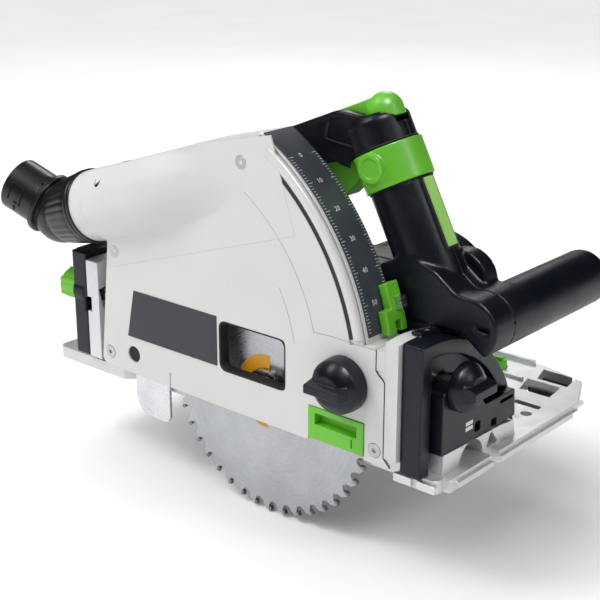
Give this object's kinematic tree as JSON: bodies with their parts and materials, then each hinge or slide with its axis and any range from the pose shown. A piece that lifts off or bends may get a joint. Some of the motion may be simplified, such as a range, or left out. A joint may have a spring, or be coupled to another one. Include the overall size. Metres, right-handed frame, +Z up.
{
  "type": "track plunge saw",
  "caption": "Plunge-cutting circular saw for a guide rail: tilting guarded blade unit with depth stop, dust elbow and two handles on a flat sole.",
  "frame": {"origin": "point on the cut line in the plane of the sole, straight below the arbor at full plunge", "axes": "+X is the feed direction, +Y runs from the blade to the motor, +Z is up, away from the work"},
  "size_m": [0.3677, 0.2178, 0.2636],
  "materials": {
    "navy_plastic": "fine moulded grain",
    "grip_plastic": "fine leathery grain on the grip",
    "green_plastic": "satin moulded",
    "pale_paint": "satin powder coat",
    "sole_alloy": "bare machined casting",
    "blade_steel": "ground, with a printed ring",
    "bright_steel": "plain machined",
    "screw_steel": "zinc plated",
    "spring_steel": "oiled spring steel",
    "scale_print": "dark anodised with white graduations",
    "slate_label": "satin, blank",
    "black_rubber": "ribbed",
    "gear_steel": "cut teeth, greased",
    "lamination": "stacked sheets",
    "winding": "varnished copper",
    "brass_holder": "stamped brass",
    "board": "potted circuit board",
    "switch_black": "plain"
  },
  "bodies": {
    "base": {"base_plate": "sole_alloy", "front_segment": "navy_plastic", "clamp_block": "navy_plastic", "rear_segment": "navy_plastic", "segment_screws": "screw_steel", "edge_clips": "bright_steel", "front_clamp_bolt": "bright_steel", "rear_clamp_bolt": "bright_steel"},
    "front_bevel_knob": {"front_bevel_knob": "navy_plastic"},
    "rear_bevel_knob": {"rear_bevel_knob": "green_plastic"},
    "front_rail_cam": {"front_rail_cam": "green_plastic"},
    "rear_rail_cam": {"rear_rail_cam": "green_plastic"},
    "head": {"guard_housing": "pale_paint", "blade_cover": "pale_paint", "front_flange": "pale_paint", "rear_flange": "sole_alloy", "dust_duct": "pale_paint", "depth_scale": "scale_print", "name_plate": "slate_label", "cover_screws": "screw_steel", "plunge_axle": "bright_steel", "plunge_spring": "spring_steel", "knife_guide": "bright_steel"},
    "splinter_guard": {"splinter_guard": "green_plastic"},
    "cover_knob": {"cover_knob": "navy_plastic"},
    "depth_stop": {"depth_stop": "green_plastic", "stop_tab": "bright_steel"},
    "elbow": {"elbow_collar": "black_rubber", "dust_elbow": "black_rubber", "hose_ring": "black_rubber"},
    "knife": {"riving_knife": "bright_steel"},
    "motor_unit": {"gear_case": "navy_plastic", "bearing_plate": "sole_alloy", "arbor_bearings": "bright_steel", "motor_housing": "navy_plastic", "motor_end_cap": "navy_plastic", "stator": "lamination", "brush_holders": "brass_holder", "motor_bearings": "bright_steel", "case_screws": "screw_steel", "handle_shell_left": "grip_plastic", "handle_shell_right": "grip_plastic", "grip_inlay": "green_plastic", "switch_module": "switch_black", "speed_electronics": "board", "cord_inlet": "black_rubber"},
    "trigger": {"trigger": "green_plastic"},
    "switch_lock": {"switch_lock": "green_plastic"},
    "swing_lever": {"swing_lever": "green_plastic"},
    "speed_dial": {"speed_dial": "green_plastic"},
    "arbor": {"saw_blade": "blade_steel", "inner_flange": "bright_steel", "outer_flange": "bright_steel", "arbor_bolt": "screw_steel", "arbor_shaft": "bright_steel", "arbor_gear": "gear_steel"},
    "layshaft": {"layshaft": "gear_steel"},
    "rotor": {"rotor_shaft": "gear_steel", "rotor_core": "winding", "cooling_fan": "navy_plastic"}
  },
  "joints": [
    {"name": "bevel", "type": "hinge", "parent": "base", "child": "head", "pos_m": [0, 0, 0], "axis": [1, 0, 0], "range_deg": [-1, 47]},
    {"name": "plunge", "type": "hinge", "parent": "head", "child": "motor_unit", "pos_m": [-0.072, 0, 0.048], "axis": [0, -1, 0], "range_deg": [0, 43]},
    {"name": "blade_spin", "type": "hinge", "parent": "motor_unit", "child": "arbor", "pos_m": [0, 0.02, 0.025], "axis": [0, -1, 0], "continuous": true},
    {"name": "layshaft_spin", "type": "hinge", "parent": "motor_unit", "child": "layshaft", "pos_m": [0.01456, 0.03, 0.04296], "axis": [0, -1, 0], "continuous": true},
    {"name": "rotor_spin", "type": "hinge", "parent": "motor_unit", "child": "rotor", "pos_m": [0.03, 0.09, 0.062], "axis": [0, -1, 0], "continuous": true},
    {"name": "knife_lift", "type": "slide", "parent": "head", "child": "knife", "axis": [0, 0, 1], "range_m": [0, 0.034]},
    {"name": "splinter_slide", "type": "slide", "parent": "head", "child": "splinter_guard", "axis": [0, 0, 1], "range_m": [-0.01, 0]},
    {"name": "cover_knob_turn", "type": "hinge", "parent": "head", "child": "cover_knob", "pos_m": [0.0695, -0.0133, 0.054], "axis": [0, -1, 0], "range_deg": [0, 90]},
    {"name": "depth_stop_slide", "type": "hinge", "parent": "head", "child": "depth_stop", "pos_m": [-0.072, 0, 0.048], "axis": [0, -1, 0], "range_deg": [0, 38]},
    {"name": "elbow_swivel", "type": "hinge", "parent": "head", "child": "elbow", "pos_m": [-0.147, -0.0035, 0.1158], "axis": [-0.9511, 0, -0.309], "range_deg": [-120, 120]},
    {"name": "front_bevel_clamp", "type": "hinge", "parent": "base", "child": "front_bevel_knob", "pos_m": [0.13, 0.019, 0.0575], "axis": [1, 0, 0], "range_deg": [-75, 0]},
    {"name": "rear_bevel_clamp", "type": "hinge", "parent": "base", "child": "rear_bevel_knob", "pos_m": [-0.165, -0.002, 0.057], "axis": [-1, 0, 0], "range_deg": [0, 180]},
    {"name": "front_cam_turn", "type": "hinge", "parent": "base", "child": "front_rail_cam", "pos_m": [0.057, 0.1595, 0.008], "axis": [0, 0, 1], "range_deg": [0, 90]},
    {"name": "rear_cam_turn", "type": "hinge", "parent": "base", "child": "rear_rail_cam", "pos_m": [-0.12, 0.1595, 0.008], "axis": [0, 0, 1], "range_deg": [0, 90]},
    {"name": "trigger_pull", "type": "hinge", "parent": "motor_unit", "child": "trigger", "pos_m": [0.018, 0.04, 0.1695], "axis": [0, -1, 0], "range_deg": [0, 7], "stiffness_Nm_per_rad": 0.8, "springref_deg": -6.88},
    {"name": "lock_push", "type": "slide", "parent": "motor_unit", "child": "switch_lock", "axis": [0.4617, 0, -0.887], "range_m": [0, 0.003], "stiffness_N_per_m": 600, "springref_m": -0.003},
    {"name": "lever_swing", "type": "hinge", "parent": "motor_unit", "child": "swing_lever", "pos_m": [0.07, 0.04, 0.15], "axis": [-0.4617, 0, 0.887], "range_deg": [0, 45]},
    {"name": "dial_turn", "type": "hinge", "parent": "motor_unit", "child": "speed_dial", "pos_m": [-0.044, 0.055, 0.146], "axis": [0, 1, 0], "range_deg": [0, 270]}
  ],
  "couplings": [
    {"joint": "layshaft_spin", "follows": "blade_spin", "ratio": -2.0833},
    {"joint": "rotor_spin", "follows": "blade_spin", "ratio": 4.2969},
    {"joint": "knife_lift", "follows": "plunge", "m_per_rad": 0.045}
  ]
}
